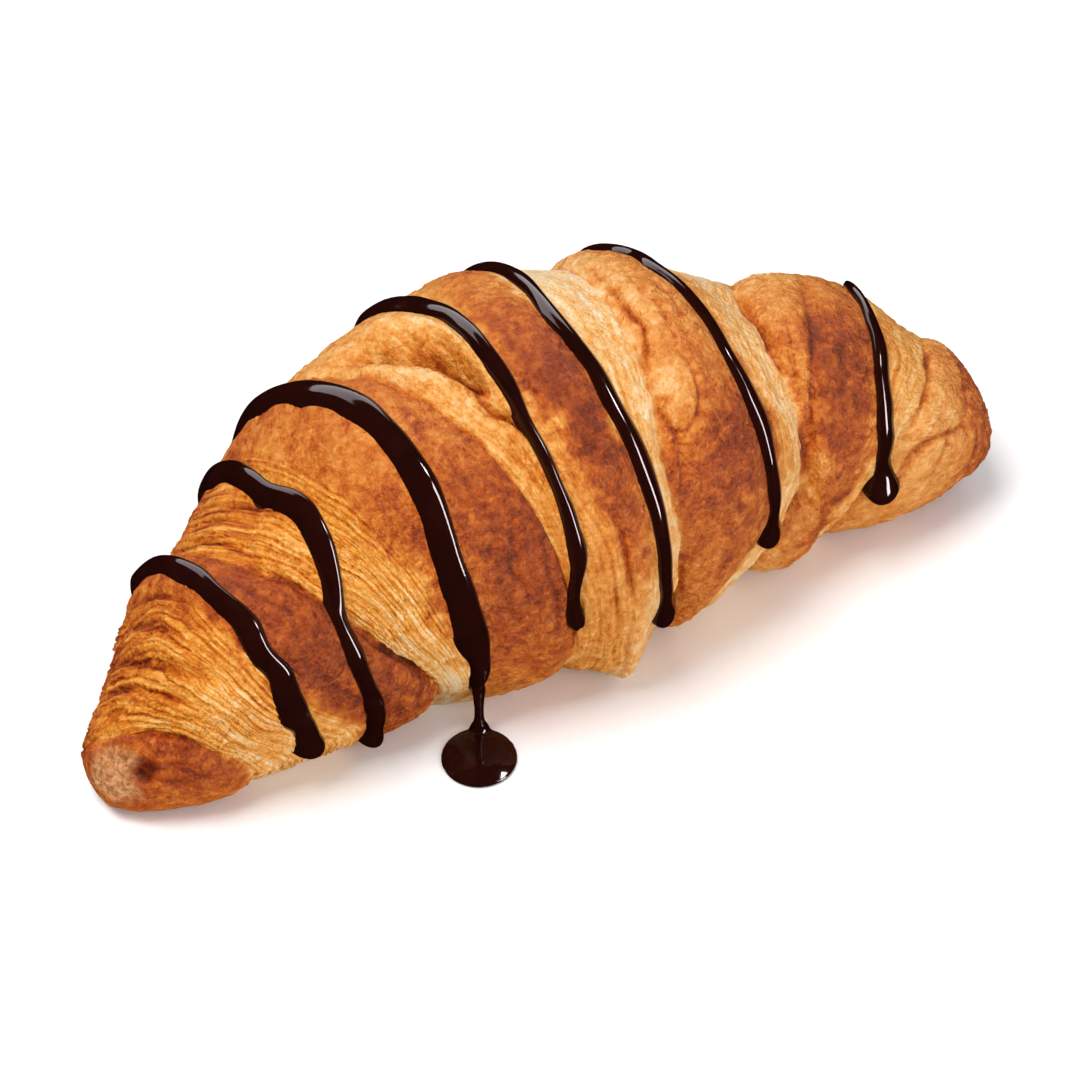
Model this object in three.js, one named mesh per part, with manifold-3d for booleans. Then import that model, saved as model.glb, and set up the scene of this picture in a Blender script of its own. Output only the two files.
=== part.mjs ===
// A baked croissant lying on a flat surface, with seven stripes of set chocolate sauce across it.
// Millimetres. +X runs from the thick-lipped tip to the slim tip, -Y is the hollow side of the
// bow, +Z is up, and the underside rests on z = 0.
import * as THREE from 'three';
import { mergeVertices } from 'three/addons/utils/BufferGeometryUtils.js';
import Module from 'manifold-3d';

const wasm = await Module();
wasm.setup();

// ---- overall sizes ----
const LENGTH = 162;            // tip to tip
const FRONT_REACH = 34;        // half-width towards the hollow side, at the widest place
const BACK_REACH = 35;         // half-width towards the round side, at the widest place
const HEIGHT = 55;             // at the highest place
const BOW = 10.5;              // how far the middle stands back from the line between the tips
const FLAT_SHARE = 0.2;        // share of the half-height that the resting flat cuts off
const HEEL_ROUND = 3;          // softness of the turn from the sides into the resting flat
const STEP_SCALE = 1;          // scales the drop at every edge of the rolled dough
const TREAD_SWELL = 0.55;      // how far each band of dough swells between its crease and edge
const TAIL_SWELL = 2.6;        // how far the tucked tail of the roll stands out at the front foot

// ---- chocolate ----
const CLEARANCE = 0.3;         // between crust and chocolate
const STRIPE_WIDTH = 4.2;      // of an ordinary stripe
const STRIPE_THICK = 1.5;      // at the ridge of a stripe
const END_DROP = 1.3;          // width of the full drop at a stripe's front end, as a multiple
const END_DROP_LENGTH = 5;     // how far that drop reaches up the stripe
const POOL_RADIUS = 6.2;
const POOL_THICK = 1.9;
const POOL_OUT = [-2.6, -4.8]; // from the foot of the drip to the middle of the pool, x and y
const THREAD_TOP = 2.1;        // radius of the drip where it leaves the stripe
const THREAD_WAIST = 0.9;      // radius of the drip at its thinnest

// ---- fineness ----
const ROUND = 44;              // facets around the croissant
const STRIPE_ROWS = 24;
const STRIPE_COLUMNS = 8;

// Outline from tip to tip: place along the length (-1 to 1), front reach and back reach as
// shares of the widest, top and underside heights as shares of the highest.
const OUTLINE = [
  [-1.0, 0, 0, 0.11, 0.11],
  [-0.985, 0.18, 0.17, 0.2, 0.036],
  [-0.9, 0.345, 0.365, 0.39, 0],
  [-0.76, 0.48, 0.585, 0.61, 0],
  [-0.57, 0.575, 0.71, 0.72, 0],
  [-0.33, 0.79, 0.9, 0.965, 0],
  [-0.04, 1, 1, 1, 0],
  [0.21, 0.9, 0.955, 0.98, 0],
  [0.46, 0.725, 0.78, 0.82, 0],
  [0.725, 0.585, 0.6, 0.67, 0.009],
  [0.89, 0.415, 0.415, 0.48, 0.027],
  [0.97, 0.295, 0.29, 0.375, 0.073],
  [1.0, 0, 0, 0.22, 0.22],
];

// Bow of the middle line, as shares of BOW.
const BOW_PLACES = [-1, -0.75, -0.45, -0.1, 0.25, 0.52, 0.8, 1];
const BOW_SHARES = [0, 0.09, 0.58, 1, 0.95, 0.84, 0.22, 0];

// Lines of the rolled dough, each as places along the length at the angles LINE_ANGLES around
// the section (0 underside, 90 front, 180 top, 270 back). An edge is where a band of dough ends
// and a crease is the foot of the drop beyond it, where the next band comes out.
const LINE_ANGLES = [50, 110, 180, 250];
const LINES = [
  { kind: 'tip', at: [-1, -1, -1, -1], drop: 0 },
  { kind: 'crease', at: [-0.75, -0.845, -0.965, -0.99], drop: 2 },
  { kind: 'edge', at: [-0.56, -0.69, -0.77, -0.835], drop: 0 },
  { kind: 'crease', at: [-0.395, -0.53, -0.645, -0.73], drop: 2.5 },
  { kind: 'edge', at: [-0.345, -0.415, -0.48, -0.5], drop: 0 },
  { kind: 'crease', at: [-0.095, -0.155, -0.265, -0.365], drop: 2.4 },
  { kind: 'edge', at: [0.01, -0.005, -0.08, -0.05], drop: 0 },
  { kind: 'edge', at: [0.04, 0.065, 0.045, 0.04], drop: 0 },
  { kind: 'crease', at: [0.145, 0.14, 0.19, 0.205], drop: 2.5 },
  { kind: 'edge', at: [0.205, 0.41, 0.39, 0.34], drop: 0 },
  { kind: 'crease', at: [0.38, 0.505, 0.49, 0.565], drop: 2.9 },
  { kind: 'edge', at: [0.545, 0.695, 0.73, 0.76], drop: 0 },
  { kind: 'crease', at: [0.63, 0.74, 0.87, 0.925], drop: 0.9 },
  { kind: 'tip', at: [1, 1, 1, 1], drop: 0 },
];
const ROWS_BETWEEN_LINES = [6, 6, 5, 5, 6, 5, 5, 5, 5, 4, 6, 5, 6];

// The tucked tail: its place along the length, angle around, and spread in each.
const TAIL = { place: 0.03, angle: 52, placeSpread: 0.055, angleSpread: 14 };

// Stripes: places along the length at STRIPE_ANGLES, the angles where the stripe ends low on
// the front and low on the back, and its width as a share of STRIPE_WIDTH.
const STRIPE_ANGLES = [60, 120, 180, 240];
const STRIPES = [
  { at: [-0.67, -0.705, -0.725, -0.78], front: 66, back: 248, width: 1 },
  { at: [-0.555, -0.58, -0.53, -0.53], front: 46, back: 258, width: 0.95 },
  { at: [-0.35, -0.38, -0.36, -0.42], front: 60, back: 266, width: 1.4 },
  { at: [-0.145, -0.105, -0.1, -0.15], front: 82, back: 254, width: 0.92 },
  { at: [0.105, 0.09, 0.065, 0.05], front: 64, back: 262, width: 0.94 },
  { at: [0.375, 0.38, 0.35, 0.3], front: 77, back: 250, width: 0.9 },
  { at: [0.725, 0.73, 0.74, 0.75], front: 82, back: 244, width: 0.72 },
];
const POOLED_STRIPE = 2;       // the stripe that runs down into the pool

const CRUST_COLOUR = '#c67a3c';
const CHOCOLATE_COLOUR = '#1d0805';

const BAKED = new THREE.MeshStandardMaterial({ color: CRUST_COLOUR, roughness: 0.62, metalness: 0 });
const CHOCOLATE = new THREE.MeshStandardMaterial({ color: CHOCOLATE_COLOUR, roughness: 0.14, metalness: 0 });

// A smooth curve through the knots that never swings past them.
function smoothThrough(knots, values, at) {
  const last = knots.length - 1;
  const slope = (i) => (values[i + 1] - values[i]) / (knots[i + 1] - knots[i]);
  const tangent = (i) => {
    if (i === 0) return slope(0);
    if (i === last) return slope(last - 1);
    const before = slope(i - 1);
    const after = slope(i);
    if (before * after <= 0) return 0;
    return (2 * before * after) / (before + after);
  };
  const x = THREE.MathUtils.clamp(at, knots[0], knots[last]);
  let i = 0;
  while (i < last - 1 && x > knots[i + 1]) i += 1;
  const span = knots[i + 1] - knots[i];
  const t = (x - knots[i]) / span;
  const rise = values[i + 1] - values[i];
  const a = tangent(i) * span;
  const b = tangent(i + 1) * span;
  return values[i] + t * (a + t * (3 * rise - 2 * a - b + t * (a + b - 2 * rise)));
}

// Place of a line around the section: its four stated places, closed under the flat.
function placeAround(places, angles, angle) {
  const under = (places[0] + places[places.length - 1]) / 2;
  return smoothThrough([0, ...angles, 360], [under, ...places, under], angle);
}

function outline(place) {
  const places = OUTLINE.map((station) => station[0]);
  const share = (column) => smoothThrough(places, OUTLINE.map((station) => station[column]), place);
  return {
    front: share(1) * FRONT_REACH,
    back: share(2) * BACK_REACH,
    top: share(3) * HEIGHT,
    low: share(4) * HEIGHT,
  };
}

// Point and level direction of the bowed middle line.
function middleLine(place) {
  const bowAt = (p) => BOW * smoothThrough(BOW_PLACES, BOW_SHARES, p);
  const step = 0.01;
  const along = new THREE.Vector2(LENGTH * step, bowAt(place + step) - bowAt(place - step));
  along.normalize();
  return { x: (LENGTH / 2) * place, y: bowAt(place), along };
}

// Rise or fall of the crust against its smooth outline at a share q of the way between two lines.
function reliefBetween(left, right, q) {
  const swell = TREAD_SWELL * 4 * q * (1 - q);
  if (left.kind === 'edge' && right.kind === 'edge') return swell;
  if (left.kind === 'tip') return -STEP_SCALE * right.drop * q ** 8;
  if (right.kind === 'tip') return -STEP_SCALE * left.drop * (1 - q) ** 6;
  const crease = left.kind === 'crease' ? left : right;
  const fromCrease = left.kind === 'crease' ? q : 1 - q;
  const middleSide = (left.kind === 'crease') === (LINES.indexOf(left) < LINES.length / 2);
  const drop = STEP_SCALE * crease.drop;
  if (middleSide) return -drop * (1 - fromCrease) ** 1.25;
  return swell - drop * (1 - fromCrease) ** 3;
}

function relief(place, angle) {
  const at = LINES.map((line) => placeAround(line.at, LINE_ANGLES, angle));
  let i = 0;
  while (i < LINES.length - 2 && place > at[i + 1]) i += 1;
  const q = THREE.MathUtils.clamp((place - at[i]) / (at[i + 1] - at[i]), 0, 1);
  const fromUnder = Math.min(angle, 360 - angle);
  const fade = THREE.MathUtils.clamp((fromUnder - 12) / 30, 0, 1);
  const tailwise = ((place - TAIL.place) / TAIL.placeSpread) ** 2 + ((angle - TAIL.angle) / TAIL.angleSpread) ** 2;
  return reliefBetween(LINES[i], LINES[i + 1], q) * fade + TAIL_SWELL * Math.exp(-tailwise);
}

// Point of the crust, or of a skin `lift` outside it.
function crust(place, angle, lift) {
  const { front, back, top, low } = outline(place);
  const flat = FLAT_SHARE * THREE.MathUtils.clamp(1 - low / 2, 0, 1);
  const halfHeight = (top - low) / (2 - flat);
  const turn = THREE.MathUtils.degToRad(angle);
  const squareness = Math.cos(turn) > 0 ? (Math.abs(Math.sin(turn)) + 1e-9) ** -0.15 : 1;
  const reach = Math.sin(turn) > 0 ? front : back;
  let across = -reach * Math.sin(turn) * squareness;
  let up = -halfHeight * Math.cos(turn);
  const radius = Math.hypot(across, up) + 1e-9;
  const out = lift + relief(place, angle) * Math.min(radius / 8, 1);
  across += (out * across) / radius;
  up += (out * up) / radius;
  const round = HEEL_ROUND * THREE.MathUtils.clamp(halfHeight / 30, 0.02, 1);
  let z = top - halfHeight + up;
  if (z < round) z = z < -round ? 0 : (z + round) ** 2 / (4 * round);
  const { x, y, along } = middleLine(place);
  return new THREE.Vector3(x - along.y * across, y + along.x * across, z);
}

// A closed skin on a ball's rows and columns, each vertex put where `point` says.
function skin(rows, columns, point) {
  const ball = new THREE.SphereGeometry(1, columns, rows);
  const position = ball.attributes.position;
  for (let row = 0; row <= rows; row += 1) {
    for (let column = 0; column <= columns; column += 1) {
      const { x, y, z } = point(row, column % columns);
      position.setXYZ(row * (columns + 1) + column, x, y, z);
    }
  }
  ball.deleteAttribute('normal');
  ball.deleteAttribute('uv');
  return mergeVertices(ball, 1e-4);
}

// The whole croissant, its rows following the dough's lines so that edges stay crisp.
function croissantSkin(lift) {
  const rowShares = [];
  ROWS_BETWEEN_LINES.forEach((count, i) => {
    for (let k = 0; k < count; k += 1) rowShares.push([i, k / count]);
  });
  rowShares.push([LINES.length - 2, 1]);
  const rows = rowShares.length - 1;
  return skin(rows, ROUND, (row, column) => {
    const angle = (630 - (360 * column) / ROUND) % 360;
    const [i, share] = rowShares[rows - row];
    const from = placeAround(LINES[i].at, LINE_ANGLES, angle);
    const to = placeAround(LINES[i + 1].at, LINE_ANGLES, angle);
    let q = share;
    if (i === 0) q = share ** 2;
    if (i === LINES.length - 2) q = 1 - (1 - share) ** 2;
    if (row === 0 || row === rows) return crust(row === 0 ? 1 : -1, 0, 0);
    return crust(from + (to - from) * q, angle, lift);
  });
}

// A stripe: flat against the crust, rounded above, with a fuller drop at its front end.
function stripeSkin(stripe) {
  const width = STRIPE_WIDTH * stripe.width;
  const span = THREE.MathUtils.degToRad(stripe.back - stripe.front);
  const length = (span * outline(stripe.at[2]).top) / 2;
  return skin(STRIPE_ROWS, STRIPE_COLUMNS, (row, column) => {
    const share = (1 - Math.cos((Math.PI * row) / STRIPE_ROWS)) / 2;
    const angle = stripe.front + (stripe.back - stripe.front) * share;
    const fromEnd = Math.min(share, 1 - share) * length;
    const endwise = Math.sqrt(1 - (1 - Math.min((2 * fromEnd) / width, 1)) ** 2);
    const drop = 1 + (END_DROP - 1) * Math.exp(-(((share * length) / END_DROP_LENGTH) ** 2));
    const turn = (2 * Math.PI * column) / STRIPE_COLUMNS;
    const aside = (width / 2) * endwise * drop * Math.cos(turn);
    const ridge = STRIPE_THICK * endwise * drop * Math.max(Math.sin(turn), 0);
    const middle = placeAround(stripe.at, STRIPE_ANGLES, angle);
    return crust(middle + aside / (LENGTH / 2), angle, CLEARANCE + ridge);
  });
}

// Drip and pool below the pooled stripe, each turned about an upright axis.
function turned(profile, segments) {
  const points = profile.map(([radius, z]) => new THREE.Vector2(radius, z));
  const lathe = new THREE.LatheGeometry(points, segments);
  lathe.rotateX(Math.PI / 2);
  lathe.deleteAttribute('normal');
  lathe.deleteAttribute('uv');
  return mergeVertices(lathe, 1e-4);
}

function poolProfile() {
  return [
    [0, 0],
    [POOL_RADIUS * 0.93, 0],
    [POOL_RADIUS, POOL_THICK * 0.35],
    [POOL_RADIUS * 0.93, POOL_THICK * 0.72],
    [POOL_RADIUS * 0.72, POOL_THICK * 0.93],
    [POOL_RADIUS * 0.4, POOL_THICK],
    [0, POOL_THICK],
  ];
}

function dripProfile(height) {
  const foot = POOL_THICK * 0.5;
  return [
    [0, foot],
    [THREAD_WAIST * 2.2, foot],
    [THREAD_WAIST * 1.2, foot + 1.8],
    [THREAD_WAIST, height * 0.45],
    [THREAD_WAIST * 1.5, height * 0.75],
    [THREAD_TOP, height],
    [THREAD_TOP * 0.8, height + 1.6],
    [0, height + 2.2],
  ];
}

function solidOf(geometry) {
  const indexed = geometry.index.array;
  const vertProperties = new Float32Array(geometry.attributes.position.array);
  return new wasm.Manifold(new wasm.Mesh({ numProp: 3, vertProperties, triVerts: new Uint32Array(indexed) }));
}

function geometryOf(solid) {
  const mesh = solid.getMesh();
  const geometry = new THREE.BufferGeometry();
  geometry.setAttribute('position', new THREE.Float32BufferAttribute(mesh.vertProperties, 3));
  geometry.setIndex(Array.from(mesh.triVerts));
  return geometry;
}

function pooledStripe(stripe) {
  const dripAngle = stripe.front + 3;
  const place = placeAround(stripe.at, STRIPE_ANGLES, dripAngle);
  const start = crust(place, dripAngle, CLEARANCE + THREAD_TOP * 0.55);
  const drip = turned(dripProfile(start.z), 14);
  drip.translate(start.x, start.y, 0);
  const pool = turned(poolProfile(), 28);
  pool.translate(start.x + POOL_OUT[0], start.y + POOL_OUT[1], 0);
  const whole = solidOf(stripeSkin(stripe)).add(solidOf(drip)).add(solidOf(pool));
  return geometryOf(whole.subtract(solidOf(croissantSkin(CLEARANCE))));
}

const group = new THREE.Group();
group.name = 'croissant_with_chocolate';

function addPiece(name, geometry, material) {
  const mesh = new THREE.Mesh(geometry, material);
  mesh.name = name;
  group.add(mesh);
}

addPiece('croissant', croissantSkin(0), BAKED);
STRIPES.forEach((stripe, i) => {
  const geometry = i === POOLED_STRIPE ? pooledStripe(stripe) : stripeSkin(stripe);
  addPiece(`chocolate_stripe_${i + 1}`, geometry, CHOCOLATE);
});

// The frame's origin is under the middle of everything, on the surface it rests on.
const extent = new THREE.Box3().setFromObject(group);
const middle = extent.getCenter(new THREE.Vector3());
group.children.forEach((piece) => piece.geometry.translate(-middle.x, -middle.y, -extent.min.z));

export default group;
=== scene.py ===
"""Looks of a baked croissant with set chocolate stripes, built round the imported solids.

Shapes are worked out in millimetres, in the same length, angle and relief terms as the
packed croissant, and placed on it by its box. Angles run round the section: 0 underside,
90 front (the hollow side), 180 top, 270 back. Places run -1 to 1 along the length.
"""
import math

import bpy
import numpy as np
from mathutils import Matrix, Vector


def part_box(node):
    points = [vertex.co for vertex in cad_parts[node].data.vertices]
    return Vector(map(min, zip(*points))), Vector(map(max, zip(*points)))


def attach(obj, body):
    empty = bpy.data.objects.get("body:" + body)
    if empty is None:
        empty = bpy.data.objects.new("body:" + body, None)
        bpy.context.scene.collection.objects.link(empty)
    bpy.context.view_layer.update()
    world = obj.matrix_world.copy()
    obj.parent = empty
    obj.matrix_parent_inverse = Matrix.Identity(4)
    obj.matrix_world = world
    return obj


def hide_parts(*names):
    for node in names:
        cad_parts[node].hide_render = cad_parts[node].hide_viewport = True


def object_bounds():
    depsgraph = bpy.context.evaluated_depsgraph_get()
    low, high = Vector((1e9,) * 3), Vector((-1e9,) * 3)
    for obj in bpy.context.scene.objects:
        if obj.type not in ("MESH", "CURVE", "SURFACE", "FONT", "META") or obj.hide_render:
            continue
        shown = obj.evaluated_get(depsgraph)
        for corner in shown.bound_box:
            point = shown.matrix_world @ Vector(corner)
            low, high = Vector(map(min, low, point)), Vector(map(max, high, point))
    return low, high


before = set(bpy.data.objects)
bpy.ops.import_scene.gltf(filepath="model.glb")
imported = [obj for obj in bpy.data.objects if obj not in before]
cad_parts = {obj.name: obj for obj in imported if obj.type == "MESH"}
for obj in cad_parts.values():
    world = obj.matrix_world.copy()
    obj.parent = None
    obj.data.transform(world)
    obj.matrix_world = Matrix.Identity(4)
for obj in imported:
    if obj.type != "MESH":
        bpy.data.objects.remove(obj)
START_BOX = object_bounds()

MM = 0.001

# ---------------------------------------------------------------- form of the croissant
LENGTH, FRONT_REACH, BACK_REACH, HEIGHT, BOW = 162.0, 34.0, 35.0, 55.0, 10.5
FLAT_SHARE, HEEL_ROUND = 0.2, 3.0
TREAD_SWELL, TAIL_SWELL = 0.75, 2.6
TAIL = (0.03, 52.0, 0.055, 14.0)
OUTLINE = np.array([
    [-1.0, 0, 0, 0.11, 0.11],
    [-0.985, 0.18, 0.17, 0.2, 0.036],
    [-0.9, 0.345, 0.365, 0.39, 0],
    [-0.76, 0.48, 0.585, 0.61, 0],
    [-0.57, 0.575, 0.71, 0.72, 0],
    [-0.33, 0.79, 0.9, 0.965, 0],
    [-0.04, 1, 1, 1, 0],
    [0.21, 0.9, 0.955, 0.98, 0],
    [0.46, 0.725, 0.78, 0.82, 0],
    [0.725, 0.585, 0.6, 0.67, 0.009],
    [0.89, 0.415, 0.415, 0.48, 0.027],
    [0.97, 0.295, 0.29, 0.375, 0.073],
    [1.0, 0, 0, 0.22, 0.22],
])
BOW_PLACES = [-1, -0.75, -0.45, -0.1, 0.25, 0.52, 0.8, 1]
BOW_SHARES = [0, 0.09, 0.58, 1, 0.95, 0.84, 0.22, 0]

LINE_ANGLES = [50, 110, 180, 250]
# kind, places at LINE_ANGLES, drop
LINES = [
    ("tip", (-1, -1, -1, -1), 0),
    ("crease", (-0.75, -0.845, -0.965, -0.99), 2.0),
    ("edge", (-0.56, -0.69, -0.77, -0.835), 0),
    ("crease", (-0.395, -0.53, -0.645, -0.73), 2.5),
    ("edge", (-0.345, -0.415, -0.48, -0.5), 0),
    ("crease", (-0.095, -0.155, -0.265, -0.365), 2.4),
    ("edge", (0.01, -0.005, -0.08, -0.05), 0),
    ("edge", (0.04, 0.065, 0.045, 0.04), 0),
    ("crease", (0.145, 0.14, 0.19, 0.205), 2.5),
    ("edge", (0.205, 0.41, 0.39, 0.34), 0),
    ("crease", (0.38, 0.505, 0.49, 0.565), 2.9),
    ("edge", (0.545, 0.695, 0.73, 0.76), 0),
    ("crease", (0.63, 0.74, 0.87, 0.925), 0.9),
    ("tip", (1, 1, 1, 1), 0),
]
MIDDLE = 6   # the zone between lines 6 and 7 is the tongue, the roll's last and outermost band

# Per zone, from the lipped tip to the slim tip: is it a riser (the laminated drop beyond an
# edge), how many sheets show in it, how far each sheet stands out (mm), how strongly the
# crust is pulled into wrinkles along the roll, and its browning at BROWN_ANGLES (0 pale
# cream, 1 burnt).
BROWN_ANGLES = [45, 75, 120, 160, 200, 240]
ZONES = [
    dict(riser=0, sheets=3, stand=0.10, wrinkle=0.10, brown=(0.56, 0.63, 0.67, 0.66, 0.62, 0.60)),
    dict(riser=1, sheets=17, stand=0.54, wrinkle=0.12, brown=(0.22, 0.27, 0.37, 0.46, 0.52, 0.55)),
    dict(riser=0, sheets=3, stand=0.06, wrinkle=0.10, brown=(0.56, 0.66, 0.70, 0.67, 0.62, 0.58)),
    dict(riser=1, sheets=17, stand=0.40, wrinkle=0.16, brown=(0.08, 0.16, 0.35, 0.43, 0.46, 0.50)),
    dict(riser=0, sheets=3, stand=0.05, wrinkle=0.09, brown=(0.42, 0.57, 0.66, 0.57, 0.53, 0.52)),
    dict(riser=0.45, sheets=9, stand=0.26, wrinkle=0.26, brown=(0.32, 0.38, 0.36, 0.34, 0.34, 0.36)),
    dict(riser=0, sheets=3, stand=0.05, wrinkle=0.09, brown=(0.16, 0.24, 0.62, 0.72, 0.54, 0.42)),
    dict(riser=0.5, sheets=6, stand=0.12, wrinkle=0.12, brown=(0.24, 0.23, 0.23, 0.21, 0.16, 0.14)),
    dict(riser=0, sheets=3, stand=0.06, wrinkle=0.10, brown=(0.44, 0.54, 0.62, 0.50, 0.42, 0.38)),
    dict(riser=0.5, sheets=6, stand=0.14, wrinkle=0.12, brown=(0.24, 0.24, 0.24, 0.22, 0.16, 0.15)),
    dict(riser=0, sheets=3, stand=0.06, wrinkle=0.10, brown=(0.42, 0.58, 0.67, 0.62, 0.50, 0.44)),
    dict(riser=0.6, sheets=7, stand=0.20, wrinkle=0.12, brown=(0.24, 0.27, 0.29, 0.31, 0.31, 0.30)),
    dict(riser=0, sheets=3, stand=0.08, wrinkle=0.12, brown=(0.40, 0.36, 0.35, 0.38, 0.42, 0.44)),
]
# rows of the crust mesh in each zone, and its columns round the section
ROWS = [46, 84, 42, 66, 48, 46, 30, 34, 46, 28, 46, 36, 50]
COLUMNS = 340


def smooth_through(knots, values, at):
    """A smooth curve through the knots that never swings past them."""
    knots = np.asarray(knots, float)
    values = np.asarray(values, float)
    spans = np.diff(knots)
    slopes = np.diff(values) / spans
    tangents = np.zeros_like(values)
    tangents[0], tangents[-1] = slopes[0], slopes[-1]
    before, after = slopes[:-1], slopes[1:]
    same_way = before * after > 0
    total = np.where(same_way, before + after, 1.0)
    tangents[1:-1] = np.where(same_way, 2 * before * after / total, 0.0)
    x = np.clip(at, knots[0], knots[-1])
    i = np.clip(np.searchsorted(knots, x, side="right") - 1, 0, len(knots) - 2)
    t = (x - knots[i]) / spans[i]
    rise = values[i + 1] - values[i]
    a = tangents[i] * spans[i]
    b = tangents[i + 1] * spans[i]
    return values[i] + t * (a + t * (3 * rise - 2 * a - b + t * (a + b - 2 * rise)))


def smooth_step(low, high, x):
    t = np.clip((x - low) / (high - low), 0, 1)
    return t * t * (3 - 2 * t)


def hashed(ix, iy, iz, seed):
    h = (ix * 374761393 + iy * 668265263 + iz * 1440662683 + seed * 974634777) & 0xFFFFFFFF
    h = ((h ^ (h >> 13)) * 1274126177) & 0xFFFFFFFF
    h = ((h ^ (h >> 16)) * 2246822519) & 0xFFFFFFFF
    return ((h ^ (h >> 15)) & 0xFFFF) / 32767.5 - 1.0


def noise(x, y, z, seed):
    """Smooth noise, -1 to 1, with one lump per unit."""
    shape = np.broadcast(x, y, z).shape
    x, y, z = (np.broadcast_to(v, shape) for v in (x, y, z))
    fx, fy, fz = np.floor(x), np.floor(y), np.floor(z)
    ix, iy, iz = fx.astype(np.int64), fy.astype(np.int64), fz.astype(np.int64)
    tx, ty, tz = x - fx, y - fy, z - fz
    tx, ty, tz = (t * t * t * (t * (t * 6 - 15) + 10) for t in (tx, ty, tz))
    total = np.zeros(shape)
    for dx in (0, 1):
        wx = tx if dx else 1 - tx
        for dy in (0, 1):
            wy = ty if dy else 1 - ty
            for dz in (0, 1):
                wz = tz if dz else 1 - tz
                total += wx * wy * wz * hashed(ix + dx, iy + dy, iz + dz, seed)
    return total


def noise_at(points, size, seed):
    p = points / size
    return noise(p[..., 0], p[..., 1], p[..., 2], seed)


def place_around(places, angles, angle):
    under = (places[0] + places[-1]) / 2
    return smooth_through([0, *angles, 360], [under, *places, under], angle)


def outline(place):
    share = [smooth_through(OUTLINE[:, 0], OUTLINE[:, k], place) for k in (1, 2, 3, 4)]
    return share[0] * FRONT_REACH, share[1] * BACK_REACH, share[2] * HEIGHT, share[3] * HEIGHT


def middle_line(place):
    step = 0.01
    bow = [BOW * smooth_through(BOW_PLACES, BOW_SHARES, place + d) for d in (-step, 0, step)]
    along_y = bow[2] - bow[0]
    run = np.hypot(LENGTH * step, along_y)
    return place * LENGTH / 2, bow[1], LENGTH * step / run, along_y / run


def dough(place, angle):
    """Zone index, share of the way across it, and the distance in mm past each line."""
    shape = np.broadcast(place, angle).shape
    place, angle = np.broadcast_to(place, shape), np.broadcast_to(angle, shape)
    at = np.array([place_around(line[1], LINE_ANGLES, angle) for line in LINES])
    zone = np.sum(place[None] > at[1:-1], axis=0)
    left = np.take_along_axis(at, zone[None], 0)[0]
    right = np.take_along_axis(at, zone[None] + 1, 0)[0]
    q = np.clip((place - left) / np.maximum(right - left, 1e-6), 0, 1)
    past = (place[None] - at) * LENGTH / 2
    return zone, q, past


def relief(zone, q):
    out = np.zeros(zone.shape)
    for i in range(len(LINES) - 1):
        here = zone == i
        t = q[here]
        left, right = LINES[i], LINES[i + 1]
        swell = TREAD_SWELL * 4 * t * (1 - t)
        if i == MIDDLE:
            value = swell
        elif left[0] == "tip":
            value = -right[2] * t ** 8
        elif right[0] == "tip":
            value = -left[2] * (1 - t) ** 6
        else:
            drop = left[2] if left[0] == "crease" else right[2]
            up = t if left[0] == "crease" else 1 - t
            if ZONES[i]["riser"]:
                value = -drop * (1 - up) ** 1.25
            else:
                value = swell - drop * (1 - up) ** 3.5
        out[here] = value
    return out


def crust(place, angle, lift=0.0):
    """Points of the crust before its fine detail, `lift` outside it, in mm."""
    front, back, top, low = outline(place)
    flat = FLAT_SHARE * np.clip(1 - low / 2, 0, 1)
    half = (top - low) / (2 - flat)
    turn = np.radians(angle)
    sine, cosine = np.sin(turn), np.cos(turn)
    square = np.where(cosine > 0, (np.abs(sine) + 1e-9) ** -0.15, 1.0)
    across = -np.where(sine > 0, front, back) * sine * square
    up = -half * cosine
    radius = np.hypot(across, up) + 1e-9
    zone, q, _ = dough(place, angle)
    fade = np.clip((np.minimum(angle, 360 - angle) - 12) / 30, 0, 1)
    tailwise = ((place - TAIL[0]) / TAIL[2]) ** 2 + ((angle - TAIL[1]) / TAIL[3]) ** 2
    rise = relief(zone, q) * fade + TAIL_SWELL * np.exp(-tailwise)
    out = lift + rise * np.minimum(radius / 8, 1)
    across = across + out * across / radius
    up = up + out * up / radius
    soft = HEEL_ROUND * np.clip(half / 30, 0.02, 1)
    z = top - half + up
    z = np.where(z < -soft, 0, np.where(z > soft, z, (z + soft) ** 2 / (4 * soft)))
    x, y, ax, ay = middle_line(place)
    return np.stack(np.broadcast_arrays(x - ay * across, y + ax * across, z), -1)


def with_normals(place, angle):
    base = crust(place, angle)
    along = crust(np.clip(place + 2e-3, -1, 1), angle) - crust(np.clip(place - 2e-3, -1, 1), angle)
    around = crust(place, np.minimum(angle + 0.5, 360)) - crust(place, np.maximum(angle - 0.5, 0))
    normal = np.cross(around, along)
    length = np.linalg.norm(normal, axis=-1, keepdims=True)
    middle = np.stack(np.broadcast_arrays(*middle_line(place)[:2], outline(place)[2] / 2), -1)
    outward = base - middle
    outward[..., 0] += np.where(np.abs(place) > 0.995, np.sign(place) * 5, 0)
    outward /= np.linalg.norm(outward, axis=-1, keepdims=True) + 1e-9
    normal = np.where(length > 1e-6, normal / np.maximum(length, 1e-9), outward)
    flip = np.sign(np.sum(normal * outward, -1, keepdims=True) + 1e-12)
    return base, normal * flip


def swell(base):
    """Slow unevenness that crust and chocolate share, in mm."""
    return 0.42 * noise_at(base, 11.0, 3) + 0.24 * noise_at(base, 5.5, 4)


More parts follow.
